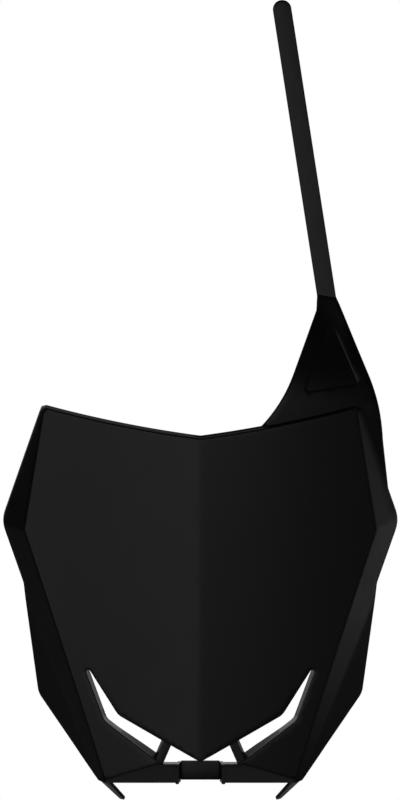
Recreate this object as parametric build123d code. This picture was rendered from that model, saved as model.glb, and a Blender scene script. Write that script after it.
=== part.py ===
from build123d import *
import math
import os

# A motocross front number plate: one thin moulded shell with an integral strap.
# Millimetres. X to the right as seen from the front, Y backwards, Z up.
# Depths are measured from the front of the centre crease, and heights from near the lower bar's
# bottom edge. The finished part is moved so that the saddle's rear face is the origin.

# ---- shell: each half of the panel is part of a large upright cylinder
wall = 2.4
panel_radius = 700.0
crease_fall = 8.0           # degrees that each half falls back from the centre crease

# ---- corners of the right half of the shell: x, y, z
panel_top = (103.3, 22.5, 244.1)
panel_waist = (117.0, 26.8, 162.8)
panel_foot = (62.0, 11.5, -1.5)
shoulder_top = (105.7, 25.7, 245.1)
wing_tip = (134.6, 50.0, 168.0)
wing_elbow = (119.0, 43.8, 126.0)
side_wall_start = (117.5, 46.3, 114.3)
side_wall_peak = (112.4, 84.0, 46.0)
side_wall_foot = (67.4, 19.5, -2.1)
wing_tip_radius = 20.0
wing_elbow_radius = 14.0
side_wall_peak_radius = 10.0

# ---- rolled rim along the top edge: x, z points of its upper line
rim_points = ((0, 225.9), (57.8, 235.5), (102.1, 245.8))
rim_height = 2.4
rim_inset = 0.5             # the rim's face lies this far behind the panel's face
rim_depth = 6.5             # how far the rim's lip runs back

# ---- vents: x, z points on the panel's face, from the lower bar round the vent to the nose
cheek_edge_end = (25.0, 11.5)
vent_bend = (62.8, 38.5)
vent_tip_outer = (75.4, 71.0)
vent_tip_inner = (73.0, 71.6)
nose_bend = (53.9, 42.5)
nose_end = (0, 13.4)
vent_bend_radius = 9.0
vent_tip_radius = 1.15
nose_bend_radius = 10.0
vent_apex = (74.2, 71.3)    # the line between the panel and the cheek ends here
vent_middle = (60.0, 42.0)
nose_below = (0, 5.0)
flange_wall = 2.0
flange_depth = 5.0
flange_leans = (3.2, 1.6, 1.9)  # lean into the vent at the inner end, the bend and the tip

# ---- lower bar and the saddle set back in its middle
bar_top = 11.5
bar_bottom = -2.5
bar_front = 4.4             # depth of the bar's upper front edge
bar_face_slope = 0.613      # the face falls back this much per millimetre going down
bar_shelf_depth = 14.0
bar_shelf_end = 27.0
bar_end = 14.0
saddle_half_width = 12.8
saddle_front = 15.0
saddle_wall = 3.0
saddle_bottom = -0.8
saddle_top = 11.6
saddle_rear = saddle_front + saddle_wall

# ---- struts and hooks
strut_top = (17.9, 33.0)
strut_foot = (27.5, 11.0)
strut_width = 5.5
strut_front = 5.9
strut_depth = 5.0
strut_flare = 1.7           # how much wider the strut's rear is, on its outer side
hook_root_outer = (66.0, 18.6, -2.3)
hook_root_inner = (59.6, 13.8, -2.6)
hook_tip = (54.0, 44.4, -19.8)
hook_tip_width = 4.6
hook_wall = 2.2

# ---- strap arm: a curved sheet behind the panel's face, leaning back towards its top
arm_wall = 2.4
arm_step = wall + 0.05      # the arm's face lies this far behind the panel's face
arm_lean_start = 240.0
arm_lean_end = 272.0
arm_lean = 0.325            # backward slope above arm_lean_end
arm_drop_start = 245.0
arm_drop = 0.1815           # backward slope going down beside the shoulder
arm_drop_across = (92.0, 106.0)
arm_level_start = 285.0     # from here up the sheet turns to face straight forward
arm_level_end = 316.0
arm_neck_slope = 0.062      # backward slope across the neck, going right
arm_tuck = 8.0              # how far the arm runs down behind the panel's top edge
arm_flare = ((40.2, 232.2), (51.8, 247.0), (60.9, 264.9))
arm_neck_left = (77.7, 309.2)
arm_neck_right = (93.4, 313.4)
arm_bow = ((111.1, 269.0), (118.9, 245.1), (122.2, 222.4))
arm_wing_height = 189.9     # where the arm runs out on the shoulder's outer edge
arm_grid_x = (32.0, 17)     # first x and number of points across
arm_grid_z = (182.0, 24)    # first z and number of points up
arm_grid_step = 6.2

# ---- strap: flat links that hinge on each other at their rear faces
strap_root = (84.7, 319.1)  # x, z of the middle of the crease at its foot
strap_face = 40.3
strap_width = 12.5
strap_wall = 1.8
strap_tilt = 8.8            # degrees that the strap leans to the left
strap_length = 200.8
link_count = 12
link_length = strap_length / link_count

# ---- keeper: a slot on the back that the end of the wrapped strap goes through
keeper_centre = (93.0, 24.5, 226.0)
keeper_size = (22.0, 14.0, 9.0)
keeper_slot = (14.5, 4.8)
keeper_bridge = 2.4
keeper_rear = keeper_centre[1] + keeper_size[1] / 2

big = 1500.0                # larger than the whole part
far = 60.0                  # how far dividing lines run past the outline


def panel_depth(x):
    """Depth of the panel's face at x."""
    start = math.sin(math.radians(crease_fall))
    turn = math.sqrt(1 - (start + x / panel_radius) ** 2)
    return panel_radius * (math.cos(math.radians(crease_fall)) - turn)


def behind(point, normal, inset=0.0):
    """Everything on the inner side of the plane through point, moved inwards by inset."""
    plane = Plane(origin=point, z_dir=normal).offset(-inset)
    return plane * Box(big, big, big, align=(Align.CENTER, Align.CENTER, Align.MAX))


def outward(a, b, c):
    """Unit normal of the plane through three points, pointing to the right."""
    normal = (Vector(*b) - Vector(*a)).cross(Vector(*c) - Vector(*a)).normalized()
    return normal if normal.X > 0 else -normal


def column_of(*lines):
    """A column along Y whose outline, seen from the front, is the closed loop of these lines."""
    edges = [edge for line in lines for edge in line.edges()]
    return extrude(Plane.XZ * make_face(edges), amount=big / 2, both=True)


def column(*points):
    """A column along Y whose outline, seen from the front, joins these x, z points."""
    return column_of(Polyline(*points, close=True))


def front(point):
    """The x and z of a corner."""
    return (point[0], point[2])


def form(inset):
    """The right half of the shell's outer form as a solid body, moved inwards by inset."""
    fall = math.radians(crease_fall)
    axis = Pos(-panel_radius * math.sin(fall), panel_radius * math.cos(fall), 0)
    half = axis * Cylinder(panel_radius - inset, big)
    half &= behind(panel_waist, outward(panel_top, panel_waist, wing_tip), inset)
    half &= behind(panel_waist, outward(panel_waist, panel_foot, wing_tip), inset)
    half &= behind(side_wall_peak, outward(side_wall_start, side_wall_peak, side_wall_foot), inset)
    return half & Box(big, big, big, align=(Align.MIN, Align.CENTER, Align.CENTER))


def half_outline():
    """The right half of the plate seen from the front, with its rounded wing corners."""
    points = [(0, bar_bottom), (panel_foot[0], bar_bottom), front(side_wall_foot)]
    points += [front(side_wall_peak), front(wing_elbow), front(wing_tip)]
    points += [front(shoulder_top), rim_points[2], (0, rim_points[2][1])]
    radii = [0, 0, 0, side_wall_peak_radius, wing_elbow_radius, wing_tip_radius, 0, 0, 0]
    return column_of(FilletPolyline(*points, radius=radii, close=True))


def below_rim(drop):
    """A column over the right half that ends this far below the rim's upper line."""
    points = [(x, z - drop) for x, z in rim_points]
    side = points[2][0] + far
    rest = Polyline(points[2], (side, points[2][1]), (side, -far), (0, -far), points[0])
    return column_of(ThreePointArc(*points), rest)


def past(a, b, length):
    """The x, z point this far past b on the line from a."""
    span = math.hypot(b[0] - a[0], b[1] - a[1])
    return (b[0] + (b[0] - a[0]) / span * length, b[1] + (b[1] - a[1]) / span * length)


# ---- shell
outer = form(0)
inner = form(wall)
shell = (outer - inner) & half_outline()
waist = front(panel_waist)
wing_line = past(waist, front(wing_tip), far)
vent_level = vent_apex[1]
foot_share = (waist[1] - vent_level) / (waist[1] - panel_foot[2])
vent_side = (waist[0] + (panel_foot[0] - waist[0]) * foot_share, vent_level)
foot_end = past(waist, front(panel_foot), far)
side_line_top = past(front(side_wall_foot), front(side_wall_start), far / 2)
side_line_end = past(front(side_wall_start), front(side_wall_foot), far)


def bar_side(depth=0.0):
    """Everything behind the lower bar's sloping face, moved backwards by depth."""
    return behind((0, bar_front, bar_top), (0, -1, -bar_face_slope), depth)


def vent_opening():
    """A column through the right vent and everything below the nose."""
    points = [(0, -far), (cheek_edge_end[0], -far), cheek_edge_end, vent_bend]
    points += [vent_tip_outer, vent_tip_inner, nose_bend, nose_end]
    radii = [0, 0, 0, vent_bend_radius, vent_tip_radius, vent_tip_radius, nose_bend_radius, 0]
    return column_of(FilletPolyline(*points, radius=radii, close=True))


def panel_region():
    """A column around the panel and nose, as far as the creases to the bevels."""
    region = column((0, big / 2), past(waist, front(panel_top), far), waist, vent_side,
                    vent_apex, vent_middle, nose_below)
    return region - vent_opening()


def make_number_panel():
    right = shell & panel_region() & below_rim(rim_height)
    return right + mirror(right, about=Plane.YZ)


def make_top_rim():
    band = below_rim(0) - below_rim(rim_height)
    band = band & panel_region() & half_outline()
    lip = (form(rim_inset) - form(rim_depth)) & band
    lip_ahead_of_arm = (form(rim_inset) - form(wall)) & band
    right = lip_ahead_of_arm + (lip - arm_column())
    return right + mirror(lip, about=Plane.YZ)


def make_shoulder():
    region = column(past(waist, front(panel_top), far), (wing_line[0], big / 2), wing_line, waist)
    return shell & region & below_rim(0)


def make_side_bevel():
    region = column(waist, wing_line, (wing_line[0], side_line_top[1]), side_line_top,
                    side_line_end, foot_end)
    return shell & region


def make_side_wall():
    top = (wing_line[0], side_line_top[1])
    bottom = (wing_line[0], side_line_end[1])
    return shell & column(side_line_top, top, bottom, side_line_end)


def make_cheek():
    region = column(vent_side, foot_end, (nose_below[0], foot_end[1]), nose_below, vent_middle, vent_apex)
    return (shell & region & bar_side()) - vent_opening()


def flange_section(point, run, lean):
    """The vent flange's cross-section at an x, z point of the vent's lower edge that runs along run."""
    x, z = point
    start = panel_depth(x) + wall
    end = start + flange_depth
    outline = Polyline((0, start), (lean, end), (lean - flange_wall, end), (-flange_wall, start), close=True)
    plane = Plane(origin=(x, 0, z), x_dir=(-run.Y, 0, run.X), z_dir=(-run.X, 0, -run.Y))
    return plane * make_face(outline)


def make_vent_flange():
    """The wall along the vent's lower edge: one ruled body through sections along the edge."""
    edge = FilletPolyline(cheek_edge_end, vent_bend, vent_tip_outer, radius=vent_bend_radius)
    lower, arc, upper = edge.edges()
    stops = [(lower, 0), (lower, 1), (arc, 0.5), (upper, 0), (upper, 1)]
    at_end, at_bend, at_tip = flange_leans
    leans = (at_end, at_bend, at_bend, at_bend, at_tip)
    sections = []
    for (line, share), lean in zip(stops, leans):
        point, run = line @ share, line % share
        sections.append(flange_section((point.X, point.Y), run, lean))
    return loft(sections, ruled=True)


def make_lower_bar():
    face = (bar_side() - bar_side(wall)) & outer
    face &= column((bar_end, bar_bottom), (panel_foot[0], bar_bottom), (panel_foot[0], bar_top), (bar_end, bar_top))
    shelf = Box(bar_shelf_end - bar_end, bar_shelf_depth - bar_front, wall, align=(Align.MIN,) * 3)
    corners = ((bar_end, bar_front), (bar_end + wall, bar_front), (saddle_half_width + wall, saddle_rear),
               (saddle_half_width, saddle_rear))
    end_wall = extrude(make_face(Polyline(*corners, close=True)), amount=bar_top - bar_bottom)
    bar = face + Pos(bar_end, bar_front, bar_top - wall) * shelf
    bar += Pos(0, 0, bar_bottom) * end_wall
    return bar & bar_side()


def make_saddle():
    width = 2 * saddle_half_width
    block = Box(width, saddle_wall, saddle_top - saddle_bottom, align=(Align.CENTER, Align.MIN, Align.MIN))
    return Pos(0, saddle_front, saddle_bottom) * block


def make_strut():
    run = Vector(strut_foot[0] - strut_top[0], strut_foot[1] - strut_top[1])
    half = strut_width / 2
    section = Polyline((-half, 0), (half, 0), (half + strut_flare, strut_depth), (-half, strut_depth), close=True)
    start = Plane(origin=(strut_top[0], strut_front, strut_top[1]), x_dir=(-run.Y, 0, run.X),
                  z_dir=(-run.X, 0, -run.Y))
    return extrude(start * make_face(section), amount=-run.length) & inner


def make_hook():
    outer_root, inner_root, tip = Vector(*hook_root_outer), Vector(*hook_root_inner), Vector(*hook_tip)
    across = (inner_root - outer_root).normalized()
    blade = make_face(Polyline(outer_root, inner_root, tip + across * hook_tip_width, tip, close=True))
    up = (tip - outer_root).cross(across).normalized()
    return extrude(blade, amount=hook_wall, dir=up if up.Z > 0 else -up)


# ---- strap arm
def smooth(value, start, end):
    """0 before start, 1 after end and an even S between them."""
    share = min(max((value - start) / (end - start), 0), 1)
    return share * share * (3 - 2 * share)


def strap_axis(height):
    """The x of the strap's centre line at a height."""
    return strap_root[0] - math.tan(math.radians(strap_tilt)) * (height - strap_root[1])


def arm_depth(x, z):
    """Depth of the arm's front face."""
    level = smooth(z, arm_level_start, arm_level_end)
    neck = panel_depth(strap_axis(z)) + arm_neck_slope * (x - strap_axis(z))
    depth = arm_step + panel_depth(x) * (1 - level) + neck * level
    rise = min(max(z - arm_lean_start, 0), arm_lean_end - arm_lean_start)
    depth += arm_lean * rise ** 2 / (2 * (arm_lean_end - arm_lean_start))
    depth += arm_lean * max(z - arm_lean_end, 0)
    return depth + arm_drop * max(arm_drop_start - z, 0) * smooth(x, *arm_drop_across)


def arm_column():
    """A column around the arm, which is tucked down behind the panel's top edge."""
    tilt = math.radians(strap_tilt)
    half = (strap_width / 2 * math.cos(tilt), strap_width / 2 * math.sin(tilt))
    top_left = (strap_root[0] - half[0], strap_root[1] - half[1])
    top_right = (strap_root[0] + half[0], strap_root[1] + half[1])
    share = (shoulder_top[2] - arm_wing_height) / (shoulder_top[2] - wing_tip[2])
    wing_end = (shoulder_top[0] + (wing_tip[0] - shoulder_top[0]) * share, arm_wing_height)
    tucked_right = (panel_top[0] - 2, panel_top[2] - arm_tuck)
    tucked_left = (arm_flare[0][0], arm_flare[0][1] - arm_tuck)
    hidden = Polyline(arm_bow[2], wing_end, front(shoulder_top), tucked_right, tucked_left, arm_flare[0])
    neck = Polyline(arm_flare[2], arm_neck_left, top_left, top_right, arm_neck_right, arm_bow[0])
    return column_of(hidden, ThreePointArc(*arm_flare), neck, ThreePointArc(*arm_bow))


def make_strap_arm():
    widths = [arm_grid_x[0] + i * arm_grid_step for i in range(arm_grid_x[1])]
    heights = [arm_grid_z[0] + i * arm_grid_step for i in range(arm_grid_z[1])]
    rows = [[Vector(x, arm_depth(x, z), z) for z in heights] for x in widths]
    sheet = extrude(Face.make_surface_from_array_of_points(rows), amount=arm_wall, dir=(0, 1, 0))
    return sheet & arm_column()


# ---- strap
def make_link(index):
    """One link of the strap. The last link has a round end."""
    if index < link_count - 1:
        outline = Pos(0, link_length / 2) * Rectangle(strap_width, link_length)
    else:
        straight = link_length - strap_width / 2
        outline = Pos(0, straight / 2) * Rectangle(strap_width, straight)
        outline += Pos(0, straight) * Circle(strap_width / 2)
    start = Pos(strap_root[0], strap_face, strap_root[1]) * Rot(0, -strap_tilt, 0)
    return start * Pos(0, 0, index * link_length) * extrude(Plane.XZ * outline, amount=-strap_wall)


def make_keeper():
    x, y, z = keeper_centre
    block = Pos(x, y, z) * Rot(0, -strap_tilt, 0) * Box(*keeper_size)
    slot = Pos(x, keeper_rear - keeper_bridge - keeper_slot[1] / 2, z) * Rot(0, -strap_tilt, 0)
    slot *= Box(keeper_slot[0], keeper_slot[1], big)
    return block & inner, slot


# ---- all nodes
def write(name, shape):
    """Move a finished piece so that the saddle's rear face is the origin, and write it."""
    placed = Pos(0, -saddle_rear, -(saddle_bottom + saddle_top) / 2) * shape
    placed.label = name
    export_step(placed, f"parts/{name}.step")


def right_half():
    """The nodes of the right half. Each one gives way to the nodes before it."""
    makers = {
        "{}_shoulder": make_shoulder,
        "{}_side_bevel": make_side_bevel,
        "{}_side_wall": make_side_wall,
        "{}_cheek": make_cheek,
        "{}_vent_flange": make_vent_flange,
        "lower_bar_{}": make_lower_bar,
        "{}_strut": make_strut,
        "{}_hook": make_hook,
    }
    finished = {}
    for name, make in makers.items():
        piece = make()
        for neighbour in finished.values():
            piece -= neighbour
        finished[name] = piece
    return finished


os.makedirs("parts", exist_ok=True)
pairs = right_half()
for name, right in pairs.items():
    write(name.format("right"), right)
    write(name.format("left"), mirror(right, about=Plane.YZ))
panel = make_number_panel()
rim = make_top_rim()
arm = make_strap_arm() - pairs["{}_shoulder"] - panel - rim
write("number_panel", panel)
write("top_rim", rim)
write("saddle", make_saddle())
write("strap_arm", arm)
keeper, slot = make_keeper()
write("strap_keeper", keeper - arm - slot)
for index in range(link_count):
    write(f"strap_link_{index + 1:02d}", make_link(index))
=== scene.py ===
import math

import bmesh
import bpy
import numpy as np
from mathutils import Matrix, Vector
from mathutils.geometry import delaunay_2d_cdt


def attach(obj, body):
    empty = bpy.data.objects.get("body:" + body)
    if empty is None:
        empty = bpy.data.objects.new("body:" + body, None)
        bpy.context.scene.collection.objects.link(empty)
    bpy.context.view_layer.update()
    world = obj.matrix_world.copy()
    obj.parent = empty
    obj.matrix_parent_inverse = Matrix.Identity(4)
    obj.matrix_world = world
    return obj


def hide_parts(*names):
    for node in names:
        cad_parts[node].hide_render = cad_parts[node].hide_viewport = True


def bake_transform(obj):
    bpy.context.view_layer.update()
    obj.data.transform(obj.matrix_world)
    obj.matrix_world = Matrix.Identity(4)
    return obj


# A black motocross front number plate. The shape functions work in millimetres in the plate's
# design frame: X right, Y back from the centre crease, Z up. place() turns them into the row frame.

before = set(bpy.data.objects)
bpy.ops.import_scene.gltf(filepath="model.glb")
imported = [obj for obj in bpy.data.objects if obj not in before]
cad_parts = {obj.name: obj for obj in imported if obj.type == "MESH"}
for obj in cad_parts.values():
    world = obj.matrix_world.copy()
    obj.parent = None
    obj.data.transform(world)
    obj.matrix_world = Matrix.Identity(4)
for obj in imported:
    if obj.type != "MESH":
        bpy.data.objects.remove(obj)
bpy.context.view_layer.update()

MM = 0.001
SADDLE_REAR = 18.0
SADDLE_MIDDLE = 5.4

# ---- the shell's design dimensions, as in the CAD source. Corners are (x, y, z) on the right half,
# ---- and pairs are (x, z).
WALL = 2.4
PANEL_RADIUS = 700.0
CREASE_FALL = math.radians(8.0)
PANEL_TOP = (103.3, 22.5, 244.1)
PANEL_WAIST = (117.0, 26.8, 162.8)
PANEL_FOOT = (62.0, 11.5, -1.5)
SHOULDER_TOP = (105.7, 25.7, 245.1)
WING_TIP = (134.6, 50.0, 168.0)
WING_ELBOW = (119.0, 43.8, 126.0)
SIDE_WALL_START = (117.5, 46.3, 114.3)
SIDE_WALL_PEAK = (112.4, 84.0, 46.0)
SIDE_WALL_FOOT = (67.4, 19.5, -2.1)
RIM_POINTS = ((0.0, 225.9), (57.8, 235.5), (102.1, 245.8))
RIM_DEPTH = 6.5
BAR_TOP, BAR_BOTTOM, BAR_FRONT, BAR_SLOPE = 11.5, -2.5, 4.4, 0.613
BAR_END = 14.0
SADDLE_HALF, SADDLE_FRONT, SADDLE_BOTTOM, SADDLE_TOP = 12.8, 15.0, -0.8, 11.6
VENT_TIP_OUTER, VENT_TIP_INNER = (75.4, 71.0), (73.0, 71.6)
NOSE_BEND, NOSE_END = (53.9, 42.5), (0.0, 13.4)
VENT_BEND, CHEEK_END = (62.8, 38.5), (25.0, 11.5)

# ---- strap arm and strap
ARM_STEP = WALL + 0.05
ARM_WALL = 2.4
ARM_LEAN_START, ARM_LEAN_END, ARM_LEAN = 240.0, 272.0, 0.325
ARM_DROP_START, ARM_DROP = 245.0, 0.1815
ARM_DROP_SPAN = (92.0, 106.0)
ARM_LEVEL = (285.0, 316.0)
ARM_FLARE = ((40.2, 232.2), (51.8, 247.0), (60.9, 264.9))
ARM_NECK_LEFT, ARM_NECK_RIGHT = (77.7, 309.2), (93.4, 313.4)
ARM_CROWN = ((78.5, 320.7), (91.1, 318.7))
ARM_BOW = ((111.1, 269.0), (118.9, 245.1), (122.2, 222.4))
ARM_WING = (126.4, 189.9)
NECK_SLOPE = 0.062
STRAP_ROOT = (84.7, 319.1)
STRAP_FACE = 40.3
STRAP_WIDTH, STRAP_WALL, STRAP_LENGTH = 12.5, 1.8, 200.8
STRAP_TILT = math.radians(8.8)
LINKS = 12
LINK = STRAP_LENGTH / LINKS

# ---- softness of the moulding's edges
CREASE_SOFT = 3.0
BEVEL_SOFT, SIDE_WALL_SOFT, BAR_SOFT, ARM_SOFT = 0.7, 1.6, 0.5, 3.0
EDGE_ROUND = 1.2
BAR_ROUND, BAR_ROUND_FADE = 0.5, 5.0    # the lower bar's edges are sharper, and blend over this height
RIM_BAND, RIM_ROUND, RIM_SLOPE = 3.2, 1.6, math.radians(55.0)
BACK_ROUND = 0.5

# ---- how finely the moulding's mesh is made
OUTLINE_STEP, FRONT_SPACING, BACK_SPACING, FINE_STEP = 3.0, 3.0, 4.0, 1.5
RIM_COUNT, FLARE_COUNT, BOW_COUNT, BAR_COUNT = 60, 10, 12, 14
FRONT_RINGS, BACK_RINGS = (0.0, 0.05, 0.2, 0.5, 1.2), (0.0, 0.1, 0.5)
ROW_STEP = 0.25             # between the two rows of points at a step in depth
STEP_AT = 0.1               # where the step in depth falls between them
CHUNK = 2000                # points measured at a time, to save memory
HALVINGS = 40
QUARTER_ROUND = np.radians((0, 30, 60, 90))


def place(x, y, z):
    """A design point as a point of the row frame, in metres."""
    return (x * MM, (y - SADDLE_REAR) * MM, (z - SADDLE_MIDDLE) * MM)


# ======================================================================= shape functions
def panel_depth(x):
    """Depth of the number panel's right half, which is part of an upright cylinder."""
    start = math.sin(CREASE_FALL)
    return PANEL_RADIUS * (math.cos(CREASE_FALL) - np.sqrt(1 - (start + x / PANEL_RADIUS) ** 2))


def facet(a, b, c):
    """A function for the depth of the flat facet through three corners, moved inwards by a wall."""
    a, b, c = (np.array(p, float) for p in (a, b, c))
    normal = np.cross(b - a, c - a)
    normal /= np.linalg.norm(normal)

    def depth(x, z, wall=0.0):
        face = (normal @ a - normal[0] * x - normal[2] * z) / normal[1]
        return face + wall / abs(normal[1])
    return depth


shoulder = facet(PANEL_TOP, PANEL_WAIST, WING_TIP)
side_bevel = facet(PANEL_WAIST, PANEL_FOOT, WING_TIP)
side_wall = facet(SIDE_WALL_START, SIDE_WALL_PEAK, SIDE_WALL_FOOT)


def soft_max(a, b, width):
    """The larger of two depths, rounded where they cross."""
    gap = np.maximum(width - np.abs(a - b), 0) / width
    return np.maximum(a, b) + gap * gap * width / 4


def soft_min(a, b, width):
    """The smaller of two depths, rounded where they cross."""
    return -soft_max(-a, -b, width)


def smooth(value, start, end):
    """A soft step from 0 at start to 1 at end."""
    share = np.clip((value - start) / (end - start), 0, 1)
    return share * share * (3 - 2 * share)


def strap_axis(z):
    """The x of the strap's centre line at this height."""
    return STRAP_ROOT[0] - math.tan(STRAP_TILT) * (z - STRAP_ROOT[1])


def arm_depth(x, z):
    """Depth of the strap arm's face: it follows the panel, leans back above it and levels out at the neck."""
    level = smooth(z, *ARM_LEVEL)
    axis = strap_axis(z)
    neck = panel_depth(axis) + NECK_SLOPE * (x - axis)
    bend = ARM_LEAN_END - ARM_LEAN_START
    depth = ARM_STEP + panel_depth(x) * (1 - level) + neck * level
    depth = depth + ARM_LEAN * np.clip(z - ARM_LEAN_START, 0, bend) ** 2 / (2 * bend)
    depth = depth + ARM_LEAN * np.maximum(z - ARM_LEAN_END, 0)
    return depth + ARM_DROP * np.maximum(ARM_DROP_START - z, 0) * smooth(x, *ARM_DROP_SPAN)


def circle_through(points):
    """Centre and radius of the circle through three x, z points."""
    (ax, az), (bx, bz), (cx, cz) = points
    d = 2 * (ax * (bz - cz) + bx * (cz - az) + cx * (az - bz))
    a2, b2, c2 = ax * ax + az * az, bx * bx + bz * bz, cx * cx + cz * cz
    ux = (a2 * (bz - cz) + b2 * (cz - az) + c2 * (az - bz)) / d
    uz = (a2 * (cx - bx) + b2 * (ax - cx) + c2 * (bx - ax)) / d
    return ux, uz, math.hypot(ax - ux, az - uz)


RIM_ARC = circle_through(RIM_POINTS)


def rim_height(x):
    """Height of the panel's top edge at x."""
    ax = np.minimum(np.abs(x), RIM_POINTS[2][0])
    cx, cz, radius = RIM_ARC
    arc = cz - np.sqrt(radius ** 2 - (ax - cx) ** 2)
    beyond = np.clip(np.abs(x) - RIM_POINTS[2][0], 0, SHOULDER_TOP[0] - RIM_POINTS[2][0])
    fall = (RIM_POINTS[2][1] - SHOULDER_TOP[2]) / (SHOULDER_TOP[0] - RIM_POINTS[2][0])
    return arc - fall * beyond


def nose_edge(x):
    """Height of the nose's lower edge at x."""
    return NOSE_END[1] + (NOSE_BEND[1] - NOSE_END[1]) / NOSE_BEND[0] * np.abs(x)


def bar_depth(z, wall):
    """Depth of the lower bar's sloping face, moved inwards by wall."""
    return BAR_FRONT + BAR_SLOPE * (BAR_TOP - z) + wall * math.hypot(1, BAR_SLOPE)


NOSE_MARGIN = 1.0
NOWHERE = -99.0             # a depth in front of every face


def facets(x, z, wall):
    """Depth of the bevelled shell, moved inwards by wall. The right shoulder makes way for the arm."""
    ax = np.sqrt(x * x + CREASE_SOFT ** 2)
    depth = panel_depth(ax) + wall
    upper = shoulder(ax, z, wall)
    upper = np.where(x > 0, soft_min(upper, arm_depth(ax, z) + wall, ARM_SOFT), upper)
    depth = soft_max(depth, upper, BEVEL_SOFT)
    depth = soft_max(depth, side_bevel(ax, z, wall), BEVEL_SOFT)
    depth = soft_max(depth, side_wall(ax, z, wall), SIDE_WALL_SOFT)
    in_nose = (np.abs(x) < NOSE_BEND[0]) & (z > nose_edge(x) - NOSE_MARGIN)
    return soft_max(depth, np.where(in_nose, NOWHERE, bar_depth(z, wall)), BAR_SOFT)


# ======================================================================= outlines
def arc_points(points, count):
    """Points along the arc from the first to the last of three points, by way of the middle one."""
    cx, cz, radius = circle_through(points)
    angles = [math.atan2(z - cz, x - cx) for x, z in points]
    sweep = (angles[2] - angles[0] + math.pi) % (2 * math.pi) - math.pi
    turns = [angles[0] + sweep * i / (count - 1) for i in range(count)]
    return [(cx + radius * math.cos(t), cz + radius * math.sin(t)) for t in turns]


def rounded(corners, step=8.0):
    """The points of a line through (point, radius) corners, each rounded in steps of so many degrees."""
    points = [point for point, _ in corners]
    result = []
    for i, (point, radius) in enumerate(corners):
        if radius == 0:
            result.append(tuple(point))
            continue
        corner = Vector(point)
        before = (Vector(points[i - 1]) - corner).normalized()
        after = (Vector(points[(i + 1) % len(points)]) - corner).normalized()
        half = before.angle(after) / 2
        reach = radius / math.tan(half)
        centre = corner + (before + after).normalized() * (radius / math.sin(half))
        first, second = corner + before * reach, corner + after * reach
        start = math.atan2(first.y - centre.y, first.x - centre.x)
        sweep = math.atan2(second.y - centre.y, second.x - centre.x) - start
        sweep = (sweep + math.pi) % (2 * math.pi) - math.pi
        count = max(3, int(abs(math.degrees(sweep)) / step) + 1)
        for k in range(count + 1):
            turn = start + sweep * k / count
            result.append((centre.x + radius * math.cos(turn), centre.y + radius * math.sin(turn)))
    return result


def spaced(points, step, closed=True):
    """The line through points, cut into steps of about this length."""
    result = []
    ends = points[1:] + points[:1] if closed else points[1:]
    for a, b in zip(points, ends):
        count = max(1, round(math.dist(a, b) / step))
        result += [(a[0] + (b[0] - a[0]) * i / count, a[1] + (b[1] - a[1]) * i / count) for i in range(count)]
    return result if closed else result + [points[-1]]


def mirrored(points):
    """The points on the other half, in reverse order."""
    return [(-x, z) for x, z in reversed(points)]


VENT_LINE = rounded([(CHEEK_END, 0), (VENT_BEND, 9.0), (VENT_TIP_OUTER, 0)])


def flat(corner):
    """The x and z of a corner."""
    return (corner[0], corner[2])


def lower_right():
    """From the wing's lower side round the bottom and the vent to the nose, on the right."""
    outside = rounded([(ARM_WING, 0), (flat(WING_TIP), 20), (flat(WING_ELBOW), 14),
                       (flat(SIDE_WALL_PEAK), 10), (flat(SIDE_WALL_FOOT), 1.6),
                       ((PANEL_FOOT[0], BAR_BOTTOM), 0), ((BAR_END, BAR_BOTTOM), 1.6),
                       ((BAR_END, BAR_TOP), 1.6), (CHEEK_END, 0)])
    tip = rounded([(VENT_BEND, 0), (VENT_TIP_OUTER, 1.15), (VENT_TIP_INNER, 1.15), (NOSE_BEND, 10.0),
                   (NOSE_END, 0)])
    return outside + VENT_LINE[1:-1] + tip[1:]


RIM_LEFT_END = 3 - RIM_POINTS[2][0]     # past the rounding of the panel's top left corner


def plate_outline():
    """The front view of the shell and the strap arm, starting on the right wing and going clockwise."""
    right = lower_right()
    corner = rounded([(ARM_WING, 0), (flat(SHOULDER_TOP), 1.6), (RIM_POINTS[2], 1.6), (RIM_POINTS[1], 0)])
    left = mirrored(corner[-2:0:-1] + right)
    rim = [(x, float(rim_height(x))) for x in np.linspace(RIM_LEFT_END, ARM_FLARE[0][0], RIM_COUNT)]
    flare, bow = arc_points(ARM_FLARE, FLARE_COUNT), arc_points(ARM_BOW, BOW_COUNT)
    return right + left[1:] + rim + flare[1:] + [ARM_NECK_LEFT, *ARM_CROWN, ARM_NECK_RIGHT] + bow


def segments_of(points, closed=True):
    """The starts and the ends of the segments between points."""
    a = np.array(points, float)
    return (a, np.roll(a, -1, axis=0)) if closed else (a[:-1], a[1:])


def distance(points, segments):
    """Distance from each point to the nearest of the segments."""
    a, b = segments
    run = b - a
    length = np.maximum((run ** 2).sum(1), 1e-9)
    result = np.empty(len(points))
    for start in range(0, len(points), CHUNK):
        p = points[start:start + CHUNK, None, :] - a[None]
        share = np.clip((p * run[None]).sum(2) / length[None], 0, 1)
        gap = p - share[..., None] * run[None]
        result[start:start + CHUNK] = np.sqrt((gap ** 2).sum(2).min(1))
    return result


def inside(points, outline):
    """True for each point that the closed outline goes round."""
    a, b = segments_of(outline)
    slope = (b[:, 0] - a[:, 0]) / np.where(b[:, 1] == a[:, 1], 1e-9, b[:, 1] - a[:, 1])
    result = np.zeros(len(points), bool)
    for start in range(0, len(points), CHUNK):
        x, z = points[start:start + CHUNK, 0, None], points[start:start + CHUNK, 1, None]
        crosses = (a[None, :, 1] > z) != (b[None, :, 1] > z)
        at = a[None, :, 0] + (z - a[None, :, 1]) * slope[None]
        result[start:start + CHUNK] = (crosses & (x < at)).sum(1) % 2 == 1
    return result


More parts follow.
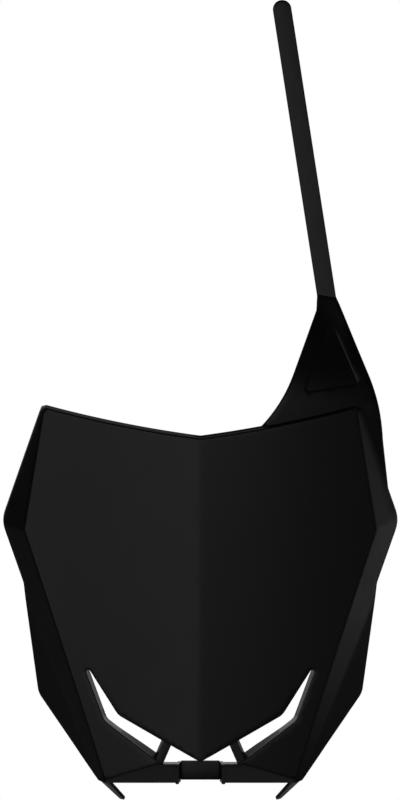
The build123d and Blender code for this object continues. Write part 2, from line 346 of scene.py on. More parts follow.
def directions(line, closed):
    """For each point of a line, the mitred unit step to its left."""
    line = np.array(line, float)
    ahead = np.roll(line, -1, 0) - line
    back = line - np.roll(line, 1, 0)
    if not closed:
        ahead[-1], back[0] = back[-1], ahead[0]
    before, after = [np.stack([-run[:, 1], run[:, 0]], 1) / np.linalg.norm(run, axis=1)[:, None]
                     for run in (back, ahead)]
    return (before + after) / (1 + (before * after).sum(1))[:, None]


def beside(line, offset, closed=False):
    """The line moved sideways by offset."""
    return np.array(line, float) + directions(line, closed) * offset


def row_beside(line, offset, closed=False):
    """The same as a list of points."""
    row = [tuple(point) for point in beside(line, offset, closed)]
    return row + row[:1] if closed else row


def crossing(first, second, low, high):
    """The x between low and high where two depths are equal."""
    sign = first(low) > second(low)
    for _ in range(HALVINGS):
        middle = (low + high) / 2
        if (first(middle) > second(middle)) == sign:
            low = middle
        else:
            high = middle
    return low


def crease(first, second, start, end, reach, wall, step=4.0):
    """Where two faces cross, within reach of the line from start to end (x, z)."""
    count = max(2, round(abs(start[1] - end[1]) / step))
    line = []
    for i in range(count + 1):
        x = start[0] + (end[0] - start[0]) * i / count
        z = start[1] + (end[1] - start[1]) * i / count
        line.append((crossing(lambda v: first(v, z, wall), lambda v: second(v, z, wall),
                              x - reach, x + reach), z))
    return line


def panel(x, z, wall):
    """The panel's face in the form that crease() takes."""
    return panel_depth(x) + wall


def arm(x, z, wall):
    """The arm's face in the form that crease() takes."""
    return arm_depth(x, z) + wall


def bar_crease(wall):
    """Where the lower bar's sloping face leaves the cheek."""
    return [(x, BAR_TOP - (panel_depth(x) + wall - bar_depth(BAR_TOP, wall)) / BAR_SLOPE)
            for x in np.linspace(BAR_END, PANEL_FOOT[0], BAR_COUNT)]


BEVEL_OFFSETS = (-1.2, -0.6, 0.0, 0.6, 1.2)
BAR_OFFSETS = (-0.8, 0.0, 0.8)
ARM_OFFSETS = (-2.4, -1.2, 0.0, 1.2, 2.4)
WING_RIDGE = (125.0, 165.2)
CENTRE_OFFSETS = (-8, -5.5, -3.5, -2, -1, 0, 1, 2, 3.5, 5.5, 8)
CENTRE_HEIGHTS = np.linspace(16.5, 223.0, 54)


def crease_lines(wall):
    """Every crease of the shell's right half with the offsets of the rows of points beside it."""
    return [
        (crease(panel, shoulder, flat(PANEL_TOP), flat(PANEL_WAIST), 4, wall), BEVEL_OFFSETS),
        (crease(panel, side_bevel, flat(PANEL_WAIST), flat(PANEL_FOOT), 6, wall), BEVEL_OFFSETS),
        (crease(side_bevel, side_wall, flat(SIDE_WALL_START), flat(SIDE_WALL_FOOT), 6, wall, 5.0),
         BEVEL_OFFSETS),
        ([flat(PANEL_WAIST), WING_RIDGE, flat(WING_TIP)], BEVEL_OFFSETS),
        (bar_crease(wall), BAR_OFFSETS),
    ]


def shell_rows(wall):
    """Rows of points along the shell's creases, on both halves."""
    rows = []
    for line, offsets in crease_lines(wall):
        for offset in offsets:
            row = row_beside(line, offset)
            rows += [row, [(-x, z) for x, z in row]]
    return rows + [[(x, float(z)) for z in CENTRE_HEIGHTS] for x in CENTRE_OFFSETS]


def rim_row(drop, start, end, step=2.0):
    """A row of points this far below the panel's top edge."""
    xs = np.linspace(start, end, round((end - start) / step) + 1)
    return [(float(x), float(rim_height(x)) - drop) for x in xs]


def clipped(row, outline, edge, clearance):
    """The parts of a row that are inside the outline and at least clearance from it."""
    points = np.array(row, float)
    good = inside(points, outline) & (distance(points, edge) > clearance)
    parts, part = [], []
    for point, keep in zip(row, good):
        if keep:
            part.append(point)
        elif part:
            parts.append(part)
            part = []
    return [p for p in parts + [part] if len(p) > 1]


def within(faces, order):
    """The faces inside the closed loop of point numbers: those that can't be reached from outside it."""
    walls = {frozenset(pair) for pair in zip(order, order[1:] + order[:1])}
    owners = {}
    for number, face in enumerate(faces):
        for pair in zip(face, face[1:] + face[:1]):
            owners.setdefault(frozenset(pair), []).append(number)
    waiting = [users[0] for pair, users in owners.items() if len(users) == 1 and pair not in walls]
    outside = set(waiting)
    while waiting:
        face = faces[waiting.pop()]
        for pair in zip(face, face[1:] + face[:1]):
            pair = frozenset(pair)
            if pair not in walls:
                found = [n for n in owners[pair] if n not in outside]
                outside.update(found)
                waiting += found
    return [face for number, face in enumerate(faces) if number not in outside]


ROOM_AT_EDGE, ROOM_AT_ROW = 0.45, 0.35  # how near loose points come, as a share of their spacing
ROW_END_ROOM = 0.25
SAME_POINT = 1e-4


def triangles(loop, rows, spacing):
    """Points and triangles that fill a closed loop, with edges along the rows, and the loop's own points."""
    edge = segments_of(loop)
    low, high = np.min(loop, 0), np.max(loop, 0)
    rise = spacing * math.sqrt(3) / 2
    grid = np.array([(x + (row % 2) * spacing / 2, z)
                     for row, z in enumerate(np.arange(low[1], high[1], rise))
                     for x in np.arange(low[0], high[0], spacing)])
    grid = grid[inside(grid, loop)]
    grid = grid[distance(grid, edge) > spacing * ROOM_AT_EDGE]
    parts = [part for row in rows for part in clipped(row, loop, edge, ROW_END_ROOM)]
    for part in parts:
        grid = grid[distance(grid, segments_of(part, closed=False)) > spacing * ROOM_AT_ROW]
    points = [tuple(p) for p in loop]
    ties = [(i, (i + 1) % len(loop)) for i in range(len(loop))]
    for part in parts:
        ties += [(len(points) + i, len(points) + i + 1) for i in range(len(part) - 1)]
        points += part
    points += [tuple(p) for p in grid]
    result = delaunay_2d_cdt([Vector(p) for p in points], ties, [], 0, SAME_POINT, True)
    flat_points = np.array([(v.x, v.y) for v in result[0]])
    place_of = {source: i for i, sources in enumerate(result[3]) for source in sources}
    order = [place_of[i] for i in range(len(loop))]
    return flat_points, within([tuple(face) for face in result[2]], order), order


# ======================================================================= the moulded shell
RECESS = rounded([((68.6, 253.6), 2.0), ((105.9, 259.4), 2.8), ((86.7, 305.2), 3.0)])
RECESS_SPAN = (245.0, 312.0)            # the heights that it lies between
RECESS_DEPTH = 0.4
RECESS_SLOPE = 0.7
RECESS_FADE = (287.0, 300.0)
TUCK = 8.0                              # how far the arm reaches down behind the panel
TUCK_LEFT, TUCK_RIGHT = 40.2, 101.3
LIP = 2.4                               # height of the rim's thick edge
ON_EDGE, RIM_EDGE = 0.05, (-0.5, 1.0)
FAR_IN = 99.0                           # a distance in from the outline that no rounding reaches


def fall_of_round(distance_in, radius):
    """How far a rounded edge falls back at this distance in from the edge."""
    left = np.clip(radius - distance_in, 0, radius)
    return radius - np.sqrt(radius * radius - left * left)


def fall_of_rim(below):
    """How far the top edge falls back: a flat slope that ends in a round where it meets the panel."""
    arc = RIM_ROUND * math.sin(RIM_SLOPE)
    into = np.clip(RIM_BAND - below, 0, arc)
    straight = np.clip(RIM_BAND - arc - below, 0, None)
    return RIM_ROUND - np.sqrt(RIM_ROUND ** 2 - into ** 2) + straight * math.tan(RIM_SLOPE)


def recess_depth(x, z):
    """The shallow triangular recess in the arm's face."""
    points = np.stack([x, z], 1)
    near = (z > RECESS_SPAN[0]) & (z < RECESS_SPAN[1])
    result = np.zeros(len(x))
    if near.any():
        depth = smooth(distance(points[near], segments_of(RECESS)), 0.0, RECESS_SLOPE)
        fade = RECESS_DEPTH * (1 - smooth(z[near], *RECESS_FADE))
        result[near] = np.where(inside(points[near], RECESS), depth * fade, 0)
    return result


def front_depth(points, edge_distance):
    """Depth of the moulding's front face at x, z points this far in from its outline."""
    x, z = points[:, 0], points[:, 1]
    below = rim_height(x) - z
    on_arm = arm_depth(x, z)
    shell = facets(x, z, 0.0) + fall_of_rim(below)
    shell = np.where((x > 0) & (below < RIM_BAND + 1.0), np.minimum(shell, on_arm), shell)
    depth = np.where((below > ON_EDGE) | (x < 0), shell, on_arm + recess_depth(x, z))
    radius = BAR_ROUND + (EDGE_ROUND - BAR_ROUND) * smooth(z, BAR_TOP, BAR_TOP + BAR_ROUND_FADE)
    at_rim = (below > RIM_EDGE[0]) & (below < RIM_EDGE[1]) & (edge_distance < EDGE_ROUND)
    free_rim = at_rim & (x > -SHOULDER_TOP[0]) & (x < ARM_FLARE[0][0])
    return depth + np.where(free_rim, 0, fall_of_round(edge_distance, radius))


def back_depth(points, edge_distance):
    """Depth of the moulding's rear face."""
    x, z = points[:, 0], points[:, 1]
    below = rim_height(x) - z
    depth = facets(x, z, WALL)
    lip = (below < LIP + STEP_AT) & (np.abs(x) < RIM_POINTS[2][0])
    depth = np.where(lip, panel_depth(np.abs(x)) + RIM_DEPTH, depth)
    above = (x > TUCK_LEFT) & (below < 0)
    tuck = (x > TUCK_LEFT) & (x < TUCK_RIGHT) & (below < TUCK + STEP_AT)
    depth = np.where(above | tuck, arm_depth(x, z) + ARM_WALL, depth)
    return depth - fall_of_round(edge_distance, BACK_ROUND)


def add_object(name, points, faces, sharp=38.0):
    """A mesh object from design points. Edges that turn by more than sharp degrees stay crisp."""
    mesh = bpy.data.meshes.new(name)
    mesh.from_pydata([place(*map(float, p)) for p in points], [], [tuple(map(int, f)) for f in faces])
    work = bmesh.new()
    work.from_mesh(mesh)
    bmesh.ops.recalc_face_normals(work, faces=work.faces)
    for face in work.faces:
        face.smooth = True
    work.to_mesh(mesh)
    work.free()
    mesh.set_sharp_from_angle(angle=math.radians(sharp))
    item = bpy.data.objects.new(name, mesh)
    bpy.context.scene.collection.objects.link(item)
    return item


def side(outline, offsets, rows, depth, spacing):
    """One face of the moulding: rings that run in from the outline, then triangles inside them."""
    rings = [beside(outline, offset, closed=True) for offset in offsets]
    points = [np.column_stack([ring[:, 0], depth(ring, np.full(len(ring), offset)), ring[:, 1]])
              for ring, offset in zip(rings[:-1], offsets)]
    count = len(outline)
    inner, faces, order = triangles([tuple(p) for p in rings[-1]], rows, spacing)
    base = count * (len(rings) - 1)
    y = depth(inner, np.full(len(inner), FAR_IN))
    points.append(np.column_stack([inner[:, 0], y, inner[:, 1]]))
    result = [tuple(i + base for i in face) for face in faces]
    loops = [[k * count + i for i in range(count)] for k in range(len(rings) - 1)]
    loops.append([base + i for i in order])
    for near, far in zip(loops, loops[1:]):
        result += [(near[i], near[(i + 1) % count], far[(i + 1) % count], far[i]) for i in range(count)]
    return np.vstack(points), result


RIM_END = 101.5                         # the rim's rows stop here, short of its corners
RIM_DROPS, STEP_DROPS = (1.55, 1.89, 2.2, 2.5, 2.85, 3.2), (0.0, 0.3, 0.6, 0.75, 1.1)
STEP_START, STEP_END = ARM_FLARE[0][0] + 1.0, PANEL_TOP[0] + 0.6
ARM_CREASE_TOP = (104.5, 243.0)
RECESS_OFFSETS = (0.0, 0.25, 0.5, 0.75, 1.0)
TUCK_SIDES = (TUCK_LEFT - 0.1, TUCK_LEFT + 0.15, TUCK_RIGHT - 0.15, TUCK_RIGHT + 0.1)
TUCK_DROPS = (TUCK + 0.2, 6.0, 4.0, 2.0, 0.6)


def front_rows():
    """The rows of points on the front face: creases, the rounded rim, the arm's step and its recess."""
    arm_crease = crease(shoulder, arm, ARM_CREASE_TOP, ARM_WING, 5, 0.0)
    dent = spaced(RECESS, FINE_STEP)
    rows = shell_rows(0.0)
    rows += [rim_row(drop, -RIM_END, STEP_END) for drop in RIM_DROPS]
    rows += [rim_row(drop, STEP_START, STEP_END) for drop in STEP_DROPS]
    rows += [row_beside(arm_crease, offset) for offset in ARM_OFFSETS]
    return rows + [row_beside(dent, offset, closed=True) for offset in RECESS_OFFSETS]


def back_rows():
    """The rows of points on the rear face: creases, the rim's lip and the arm's tuck behind the panel."""
    rows = shell_rows(WALL)
    rows += [rim_row(drop, -RIM_END, RIM_END) for drop in (LIP, LIP + ROW_STEP)]
    rows += [rim_row(drop, TUCK_LEFT, TUCK_RIGHT) for drop in (TUCK, TUCK + ROW_STEP)]
    return rows + [[(x, float(rim_height(x)) - drop) for drop in TUCK_DROPS] for x in TUCK_SIDES]


def make_moulding():
    """The shell with its arm: a front face and a rear face that share an outline, sewn together."""
    outline = spaced(plate_outline(), OUTLINE_STEP)
    a, b = segments_of(outline)
    if (a[:, 0] * b[:, 1] - b[:, 0] * a[:, 1]).sum() < 0:
        outline = outline[::-1]
    front, front_faces = side(outline, FRONT_RINGS, front_rows(), front_depth, FRONT_SPACING)
    back, back_faces = side(outline, BACK_RINGS, back_rows(), back_depth, BACK_SPACING)
    count = len(outline)
    shift = len(front)
    faces = front_faces + [tuple(i + shift for i in face) for face in back_faces]
    faces += [(i, (i + 1) % count, shift + (i + 1) % count, shift + i) for i in range(count)]
    return add_object("plate_moulding", np.vstack([front, back]), faces)


# ======================================================================= smaller pieces
def skin(rings, closed=False):
    """Points and faces of a skin over rings of equal length. Its ends are capped unless it is closed."""
    count = len(rings[0])
    points = [p for ring in rings for p in ring]
    pairs = list(zip(range(len(rings)), range(1, len(rings))))
    if closed:
        pairs.append((len(rings) - 1, 0))
    faces = [(a * count + i, a * count + (i + 1) % count, b * count + (i + 1) % count, b * count + i)
             for a, b in pairs for i in range(count)]
    if not closed:
        faces += [tuple(range(count)), tuple(range(len(points) - count, len(points)))]
    return points, faces


def joined(parts):
    """Several (points, faces) as one."""
    points, faces = [], []
    for more_points, more_faces in parts:
        faces += [tuple(i + len(points) for i in face) for face in more_faces]
        points += list(more_points)
    return points, faces


def round_rectangle(half_width, half_height, radius, steps=4):
    """Points round a rectangle with rounded corners, centred on the origin."""
    points = []
    for corner, (sx, sy) in enumerate(((1, 1), (-1, 1), (-1, -1), (1, -1))):
        for k in range(steps + 1):
            turn = math.radians(90 * corner + 90 * k / steps)
            points.append((sx * (half_width - radius) + radius * math.cos(turn),
                           sy * (half_height - radius) + radius * math.sin(turn)))
    return points


def round_levels(radius):
    """How far back and how far in an edge's rounding is, from its face to its side."""
    return [(radius * (1 - math.cos(turn)), radius * (1 - math.sin(turn))) for turn in QUARTER_ROUND]


BLOCK_ROUND = 0.5


def soft_block(low, high):
    """A block between two corners with every edge rounded."""
    centre = [(a + b) / 2 for a, b in zip(low, high)]
    half = [(b - a) / 2 for a, b in zip(low, high)]
    rings = []
    levels = round_levels(BLOCK_ROUND)
    for end in (-1, 1):
        for back, inset in levels if end < 0 else levels[::-1]:
            z = centre[2] + end * (half[2] - back)
            ring = round_rectangle(half[0] - inset, half[1] - inset, max(BLOCK_ROUND - inset, 0.02))
            rings.append([(centre[0] + u, centre[1] + v, z) for u, v in ring])
    return skin(rings)


FLANGE_WALL, FLANGE_DEPTH = 2.0, 5.0
FLANGE_START = 1.4                      # how deep in the shell's wall the flange starts
FLANGE_STOPS = (0.0, 0.2, 0.45, 0.6, 1.0)   # shares of its length, from its inner end to the vent's tip
FLANGE_LEANS = (3.2, 2.7, 1.6, 1.7, 1.9)    # how far its rear edge leans into the vent there


def make_flange(sign, name):
    """The wall that runs back from the vent's lower edge and catches the light behind the plate."""
    line = spaced(VENT_LINE, FINE_STEP, closed=False)
    normal = directions(line, closed=False)
    length = np.concatenate([[0], np.cumsum(np.linalg.norm(np.diff(line, axis=0), axis=1))])
    rings = []
    for (x, z), (nx, nz), share in zip(line, normal, length / length[-1]):
        start, end = panel_depth(x) + FLANGE_START, panel_depth(x) + WALL + FLANGE_DEPTH
        lean = float(np.interp(share, FLANGE_STOPS, FLANGE_LEANS))
        outer = lean - FLANGE_WALL
        # from the vent's edge back, round the two rear corners and forwards again
        profile = [(-0.05, start), (lean - 0.1, end - 0.6), (lean - 0.25, end - 0.2), (lean - 0.7, end),
                   (outer + 0.6, end), (outer + 0.1, end - 0.5), (-FLANGE_WALL - 0.1, start)]
        rings.append([(sign * (x + nx * offset), y, z + nz * offset) for offset, y in profile])
    return add_object(name, *skin(rings))


STRUT_TOP, STRUT_FOOT, STRUT_WIDTH = (17.9, 33.0), (27.5, 11.0), 5.5
STRUT_FRONT, STRUT_DEPTH, STRUT_FLARE = 5.9, 5.0, 1.7


def make_strut(sign, name):
    """A short bar that ties the nose to the lower bar. Its outer side widens towards the back."""
    top, foot = np.array(STRUT_TOP), np.array(STRUT_FOOT)
    run = foot - top
    across = np.array([-run[1], run[0]]) / np.linalg.norm(run)
    half = STRUT_WIDTH / 2
    section = rounded([((-half, 0), 0.35), ((half, 0), 0.35), ((half + STRUT_FLARE, STRUT_DEPTH), 0.5),
                       ((-half, STRUT_DEPTH), 0.5)], step=30.0)
    rings = []
    for share in np.linspace(0.0, 1.0, 9):
        middle = top + run * share
        rings.append([(sign * (middle[0] + across[0] * u), STRUT_FRONT + v, middle[1] + across[1] * u)
                      for u, v in section])
    return add_object(name, *skin(rings))


SHELF_LOW, SHELF_HIGH = (BAR_END + 0.3, 5.0, BAR_TOP - 2.3), (27.0, 14.0, BAR_TOP - 0.15)
END_WALL_HALF, END_WALL_ROUND = 1.1, 0.5
END_WALL_LINE = ((BAR_END + 1.15, 6.5), (BAR_END + 0.8, 10.0), (SADDLE_HALF + END_WALL_HALF, SADDLE_FRONT),
                 (SADDLE_HALF + END_WALL_HALF, SADDLE_REAR))


def make_bar_return(sign, name):
    """The lower bar's shelf and the slanting end wall that runs back to the saddle."""
    half_height = (BAR_TOP - BAR_BOTTOM) / 2 - END_WALL_ROUND
    section = round_rectangle(END_WALL_HALF, half_height, END_WALL_ROUND)
    rings = [[(x + u, y, (BAR_TOP + BAR_BOTTOM) / 2 + v) for u, v in section] for x, y in END_WALL_LINE]
    points, faces = joined([soft_block(SHELF_LOW, SHELF_HIGH), skin(rings)])
    return add_object(name, [(sign * x, y, z) for x, y, z in points], faces)


def make_saddle():
    """The bridge between the two halves of the lower bar."""
    return add_object("saddle_bridge", *soft_block((-SADDLE_HALF, SADDLE_FRONT, SADDLE_BOTTOM),
                                                   (SADDLE_HALF, SADDLE_REAR, SADDLE_TOP)))


HOOK_OUTER, HOOK_INNER, HOOK_TIP = (66.0, 18.6, -2.3), (59.6, 13.8, -2.6), (54.0, 44.4, -19.8)
HOOK_TIP_WIDTH, HOOK_WALL, HOOK_EDGE = 4.6, 2.2, 0.7
HOOK_STOPS = (-0.06, 0.0, 0.12, 0.25, 0.4, 0.55, 0.7, 0.82, 0.9, 0.93, 0.96, 0.98, 0.993, 1.0)
HOOK_CLOSE = 0.9                        # the share of its length where its end starts to round off
HOOK_END, HOOK_END_WALL = 0.03, 0.2     # keep its last section from closing to a point


def make_hook(sign, name):
    """A tapered prong that runs back and down from the shell's foot."""
    outer, inner, tip = (Vector(p) for p in (HOOK_OUTER, HOOK_INNER, HOOK_TIP))
    across = (inner - outer).normalized()
    middle_start, middle_end = (outer + inner) / 2, tip + across * HOOK_TIP_WIDTH / 2
    along = (middle_end - middle_start).normalized()
    up = along.cross(across).normalized()
    up = up if up.z > 0 else -up
    width_start = (outer - inner).length
    rings = []
    for share in HOOK_STOPS:
        width = width_start + (HOOK_TIP_WIDTH - width_start) * max(share, 0)
        close = math.sqrt(max(1 - max((share - HOOK_CLOSE) / (1 - HOOK_CLOSE), 0) ** 2, HOOK_END))
        half_wall = HOOK_WALL / 2 * min(close + HOOK_END_WALL, 1)
        section = round_rectangle(width / 2 * close, half_wall, HOOK_EDGE * close)
        middle = middle_start + (middle_end - middle_start) * share + up * HOOK_WALL / 2
        ring = [middle + across * u + up * v for u, v in section]
        rings.append([(sign * p.x, p.y, p.z) for p in ring])
    return add_object(name, *skin(rings), sharp=50.0)


KEEPER_CENTRE, KEEPER_SIZE = (93.0, 24.5, 226.0), (22.0, 14.0, 9.0)
KEEPER_SLOT, KEEPER_BRIDGE = (14.5, 4.8), 2.4
KEEPER_ROUND, KEEPER_CORNER, SLOT_CORNER, SLOT_FLARE = 0.7, 1.6, 0.8, 0.6
KEEPER_SUNK = 1.2                       # how deep in the panel's wall its front end is


def make_keeper():
    """The slot on the back that holds the strap's end."""
    cx, cy, cz = KEEPER_CENTRE
    half = [v / 2 for v in KEEPER_SIZE]
    slot_y = half[1] - KEEPER_BRIDGE - KEEPER_SLOT[1] / 2
    levels = round_levels(KEEPER_ROUND)
    outside, hole = [], []
    for end in (-1, 1):
        for back, inset in levels if end < 0 else levels[::-1]:
            z = end * (half[2] - back)
            block = round_rectangle(half[0] - inset, half[1] - inset, KEEPER_CORNER)
            flare = inset * SLOT_FLARE
            opening = round_rectangle(KEEPER_SLOT[0] / 2 + flare, KEEPER_SLOT[1] / 2 + flare, SLOT_CORNER)
            outside.append([(u, v, z) for u, v in block])
            hole.append([(u, v + slot_y, z) for u, v in opening])
    points, faces = skin(outside + hole[::-1], closed=True)
    result = []
    for x, y, z in points:
        turned_x = cx + x * math.cos(STRAP_TILT) - z * math.sin(STRAP_TILT)
        turned_z = cz + x * math.sin(STRAP_TILT) + z * math.cos(STRAP_TILT)
        front = float(panel_depth(turned_x)) + KEEPER_SUNK
        result.append((turned_x, max(cy + y, front), turned_z))
    return add_object("keeper_loop", result, faces)


# ---- the strap
RIB_PITCH, RIB_GAP, RIB_DEPTH, RIB_HALF = 4.2, 1.3, 0.35, 4.6
RIB_SOFT, RIB_END = 0.25, 0.3
RIBS_START, RIBS_END = 18.0, STRAP_LENGTH - 12.0
STRAP_BURIED = 6.0                      # how far the strap starts down inside the arm
STRAP_LEAN_END, STRAP_SUNK_END, STRAP_SUNK = -2.6, -3.0, 0.25
STRAP_STEP = 0.42
STRAP_EDGE, STRAP_EDGE_SHARE = 0.5, 0.45
TIP_HALF, TIP_WALL, TIP_LEFT = 0.4, 0.35, 0.02  # keep the strap's last section from closing to a point


def groove(s):
    """How deep the strap's back is cut at this distance along it."""
    if s < RIBS_START or s > RIBS_END:
        return 0.0
    into = abs((s % RIB_PITCH) - RIB_PITCH / 2)
    return RIB_DEPTH * (1 - float(smooth(into, RIB_GAP / 2 - RIB_SOFT, RIB_GAP / 2 + RIB_SOFT)))


def strap_ring(s):
    """The strap's cross-section at this distance past its root."""
    radius = STRAP_WIDTH / 2
    over = max(s - (STRAP_LENGTH - radius), 0)
    width = max(math.sqrt(max(radius ** 2 - over ** 2, 0)), TIP_HALF)
    near_tip = min(1.0, TIP_WALL + width / radius)
    half = STRAP_WALL / 2
    corner = round_levels(min(STRAP_EDGE, width * STRAP_EDGE_SHARE))
    right = [(width - a, -half + b) for a, b in corner[::-1]] + [(width - a, half - b) for a, b in corner]
    cut = groove(s)
    back = [(RIB_HALF + RIB_END, 0), (RIB_HALF, cut), (0, cut), (-RIB_HALF, cut), (-RIB_HALF - RIB_END, 0)]
    back = [(u * min(width / radius, 1), half - v) for u, v in back]
    ring = right + back + [(-u, v) for u, v in right[::-1]] + [(0, -half)]
    y = STRAP_FACE + half + ARM_LEAN * min(s - STRAP_LEAN_END, 0) + (STRAP_SUNK if s < STRAP_SUNK_END else 0)
    cos, sin = math.cos(STRAP_TILT), math.sin(STRAP_TILT)
    return [(STRAP_ROOT[0] + u * cos - s * sin, y + v * near_tip, STRAP_ROOT[1] + u * sin + s * cos)
            for u, v in ring]


def make_strap_piece(index):
    """The strap from halfway along one link to halfway along the next."""
    start = -STRAP_BURIED if index == 0 else (index - 0.5) * LINK
    end = STRAP_LENGTH if index == LINKS - 1 else (index + 0.5) * LINK
    stops = [float(s) for s in np.linspace(start, end, round((end - start) / STRAP_STEP) + 1)]
    if index == LINKS - 1:
        radius = STRAP_WIDTH / 2
        stops = [s for s in stops if s < end - radius]
        stops += [end - radius + radius * math.sin(math.radians(a)) for a in range(0, 90, 6)]
        stops.append(end - TIP_LEFT)
    return add_object(f"strap_{index + 1:02d}", *skin([strap_ring(s) for s in stops]), sharp=60.0)


# ======================================================================= materials
BLACK = (0.0045, 0.0045, 0.0045, 1.0)
ROUGHNESS_SPREAD = 0.035
GRAIN_DEPTH = 0.00002                   # metres


def add_node(material, kind, settings=None, operation=None):
    """A new shader node with these inputs set."""
    node = material.node_tree.nodes.new("ShaderNode" + kind)
    if operation:
        node.operation = operation
    for socket, value in (settings or {}).items():
        node.inputs[socket].default_value = value
    return node


def plastic(name, roughness, grain_scale):
    """Satin black moulded plastic: a fine grain, and a roughness that varies a little from place to place."""
    material = bpy.data.materials.new(name)
    material.use_nodes = True
    link = material.node_tree.links.new
    shader = material.node_tree.nodes["Principled BSDF"]
    shader.inputs["Base Color"].default_value = BLACK
    shader.inputs["Metallic"].default_value = 0.0
    shader.inputs["IOR"].default_value = 1.5
    where = add_node(material, "TexCoord")
    clouds = add_node(material, "TexNoise", {"Scale": 38.0, "Detail": 5.0})
    fine = add_node(material, "TexNoise", {"Scale": 420.0, "Detail": 3.0})
    both = add_node(material, "Math", operation="ADD")
    spread = add_node(material, "MapRange", {
        "From Min": 0.7, "From Max": 1.3,
        "To Min": roughness - ROUGHNESS_SPREAD, "To Max": roughness + ROUGHNESS_SPREAD})
    grain = add_node(material, "TexVoronoi", {"Scale": grain_scale})
    pits = add_node(material, "TexNoise", {"Scale": grain_scale * 1.7})
    height = add_node(material, "Math", operation="ADD")
    bump = add_node(material, "Bump", {"Strength": 0.35, "Distance": GRAIN_DEPTH})
    for texture in (clouds, fine, grain, pits):
        link(where.outputs["Object"], texture.inputs["Vector"])
    link(clouds.outputs["Fac"], both.inputs[0])
    link(fine.outputs["Fac"], both.inputs[1])
    link(both.outputs[0], spread.inputs["Value"])
    link(spread.outputs["Result"], shader.inputs["Roughness"])
    link(grain.outputs["Distance"], height.inputs[0])
    link(pits.outputs["Fac"], height.inputs[1])
    link(height.outputs[0], bump.inputs["Height"])
    link(bump.outputs["Normal"], shader.inputs["Normal"])
    return material


def dress(item, material):
    """Gives a piece its one material."""
    item.data.materials.clear()
    item.data.materials.append(material)


# ======================================================================= build
shell_plastic = plastic("shell_plastic_black", 0.32, 2600.0)
strap_plastic = plastic("strap_plastic_black", 0.34, 2200.0)

moulded_nodes = ["number_panel", "top_rim", "strap_arm"]
for hand in ("left", "right"):
    moulded_nodes += [f"{hand}_{region}" for region in ("shoulder", "side_bevel", "side_wall", "cheek")]
rigid = [(make_moulding(), moulded_nodes)]
for hand, sign in (("left", -1), ("right", 1)):
    rigid.append((make_flange(sign, f"{hand}_vent_wall"), [f"{hand}_vent_flange"]))
    rigid.append((make_strut(sign, f"{hand}_nose_strut"), [f"{hand}_strut"]))
    rigid.append((make_bar_return(sign, f"{hand}_bar_return"), [f"lower_bar_{hand}"]))
    rigid.append((make_hook(sign, f"{hand}_hook_prong"), [f"{hand}_hook"]))
rigid.append((make_saddle(), ["saddle"]))
rigid.append((make_keeper(), ["strap_keeper"]))
for piece, stands_for in rigid:
    dress(piece, shell_plastic)
    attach(piece, "plate")
    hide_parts(*stands_for)

for index in range(LINKS):
    piece = make_strap_piece(index)
    dress(piece, strap_plastic)
    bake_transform(piece)
    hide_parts(f"strap_link_{index + 1:02d}")


# ======================================================================= floor, lights and camera
FLOOR_LEVEL, FLOOR_HALF = -0.0265, 6.0
TARGET = Vector((0.0, 0.0, 0.2))
SOFTBOX_REACH = 2.4
DIM_LEVEL = 0.014
WHITE = (1.0, 1.0, 1.0, 1.0)
SENSOR = 36.0
CAMERA = (-0.2, -1250.0, 249.08)
VIEW_DISTANCE, VIEW_HEIGHT = 1250.0, 520.0  # the picture is this high at the centre crease

# name, azimuth, elevation, width, height, brightness
SOFTBOXES = (
    ("front_1", -50.0, -8.0, 20.0, 26.0, 0.355),
    ("front_2", -32.0, -8.0, 18.0, 26.0, 0.28),
    ("front_3", -15.0, -8.0, 18.0, 26.0, 0.42),
    ("front_4", 2.0, -8.0, 16.0, 26.0, 0.22),
    ("front_5", 18.0, -8.0, 16.0, 26.0, 0.21),
    ("front_6", 40.0, -8.0, 28.0, 26.0, 0.08),
    ("front_upper", -12.0, 14.0, 80.0, 18.0, 0.52),
    ("front_top", -10.0, 27.0, 80.0, 10.0, 0.05),
    ("right_front", 82.0, -10.0, 24.0, 44.0, 0.10),
    ("right", 108.0, 2.0, 20.0, 24.0, 0.16),
    ("right_low", 119.0, -11.0, 16.0, 22.0, 0.34),
    ("left", -119.0, -26.0, 26.0, 24.0, 0.045),
    ("below", 0.0, -80.0, 70.0, 60.0, 0.175),
    ("below_back", 180.0, -34.0, 44.0, 24.0, 0.2),
    ("back", 180.0, 20.0, 100.0, 40.0, 0.75),
    ("back_upper", 180.0, 58.0, 90.0, 34.0, 0.45),
    ("back_low", 182.0, -13.0, 40.0, 26.0, 0.28),
)


def shade_by_ray(tree, for_camera, for_others, output_kind):
    """Sends one shader to the output for what the camera sees and another for every other ray."""
    nodes, links = tree.nodes, tree.links
    seen, mix = nodes.new("ShaderNodeLightPath"), nodes.new("ShaderNodeMixShader")
    output = nodes.new(output_kind)
    links.new(seen.outputs["Is Camera Ray"], mix.inputs["Fac"])
    links.new(for_others.outputs[0], mix.inputs[1])
    links.new(for_camera.outputs[0], mix.inputs[2])
    links.new(mix.outputs[0], output.inputs["Surface"])


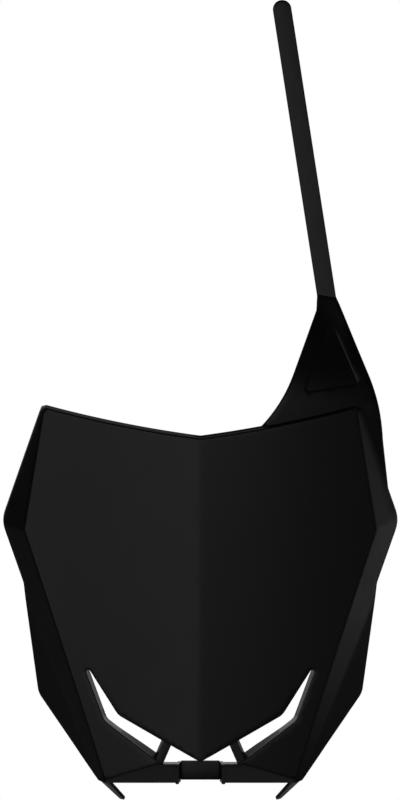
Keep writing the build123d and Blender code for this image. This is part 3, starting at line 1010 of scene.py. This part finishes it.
def add_floor():
    """A floor that is plain white to the camera and clear to all other rays, so lights below it work."""
    mesh = bpy.data.meshes.new("floor")
    corners = [(x * FLOOR_HALF, y * FLOOR_HALF, FLOOR_LEVEL) for x, y in ((-1, -1), (1, -1), (1, 1), (-1, 1))]
    mesh.from_pydata(corners, [], [(0, 1, 2, 3)])
    floor = bpy.data.objects.new("floor", mesh)
    bpy.context.scene.collection.objects.link(floor)
    material = bpy.data.materials.new("floor_pale")
    material.use_nodes = True
    material.node_tree.nodes.clear()
    pale, clear = add_node(material, "Emission", {"Color": WHITE}), add_node(material, "BsdfTransparent")
    shade_by_ray(material.node_tree, pale, clear, "ShaderNodeOutputMaterial")
    mesh.materials.append(material)


def add_world():
    """White where the camera sees it, dim where the object reflects it."""
    world = bpy.data.worlds.new("studio")
    bpy.context.scene.world = world
    world.use_nodes = True
    world.node_tree.nodes.clear()
    white = add_node(world, "Background", {"Color": WHITE})
    dim = add_node(world, "Background", {"Color": (DIM_LEVEL, DIM_LEVEL, DIM_LEVEL, 1.0)})
    shade_by_ray(world.node_tree, white, dim, "ShaderNodeOutputWorld")


def softbox(name, azimuth, elevation, width, height, brightness):
    """A soft area light. Angles are in degrees: azimuth to the right of the front, width and height as seen
    from the plate. Brightness is its radiance."""
    data = bpy.data.lights.new(name, "AREA")
    data.shape = "RECTANGLE"
    data.size = 2 * SOFTBOX_REACH * math.tan(math.radians(width / 2))
    data.size_y = 2 * SOFTBOX_REACH * math.tan(math.radians(height / 2))
    data.energy = brightness * math.pi * data.size * data.size_y
    light = bpy.data.objects.new(name, data)
    bpy.context.scene.collection.objects.link(light)
    turn, rise = math.radians(azimuth), math.radians(elevation)
    direction = Vector((math.sin(turn) * math.cos(rise), -math.cos(turn) * math.cos(rise), math.sin(rise)))
    light.location = TARGET + direction * SOFTBOX_REACH
    light.rotation_euler = direction.to_track_quat("Z", "Y").to_euler()
    light.visible_camera = False


add_floor()
add_world()
for box in SOFTBOXES:
    softbox(*box)

camera_data = bpy.data.cameras.new("camera")
camera_data.sensor_width = SENSOR
camera_data.lens = SENSOR * VIEW_DISTANCE / VIEW_HEIGHT
camera = bpy.data.objects.new("camera", camera_data)
bpy.context.scene.collection.objects.link(camera)
camera.location = place(*CAMERA)
camera.rotation_euler = (math.radians(90), 0, 0)
bpy.context.scene.camera = camera
bpy.context.scene.view_settings.view_transform = "Standard"
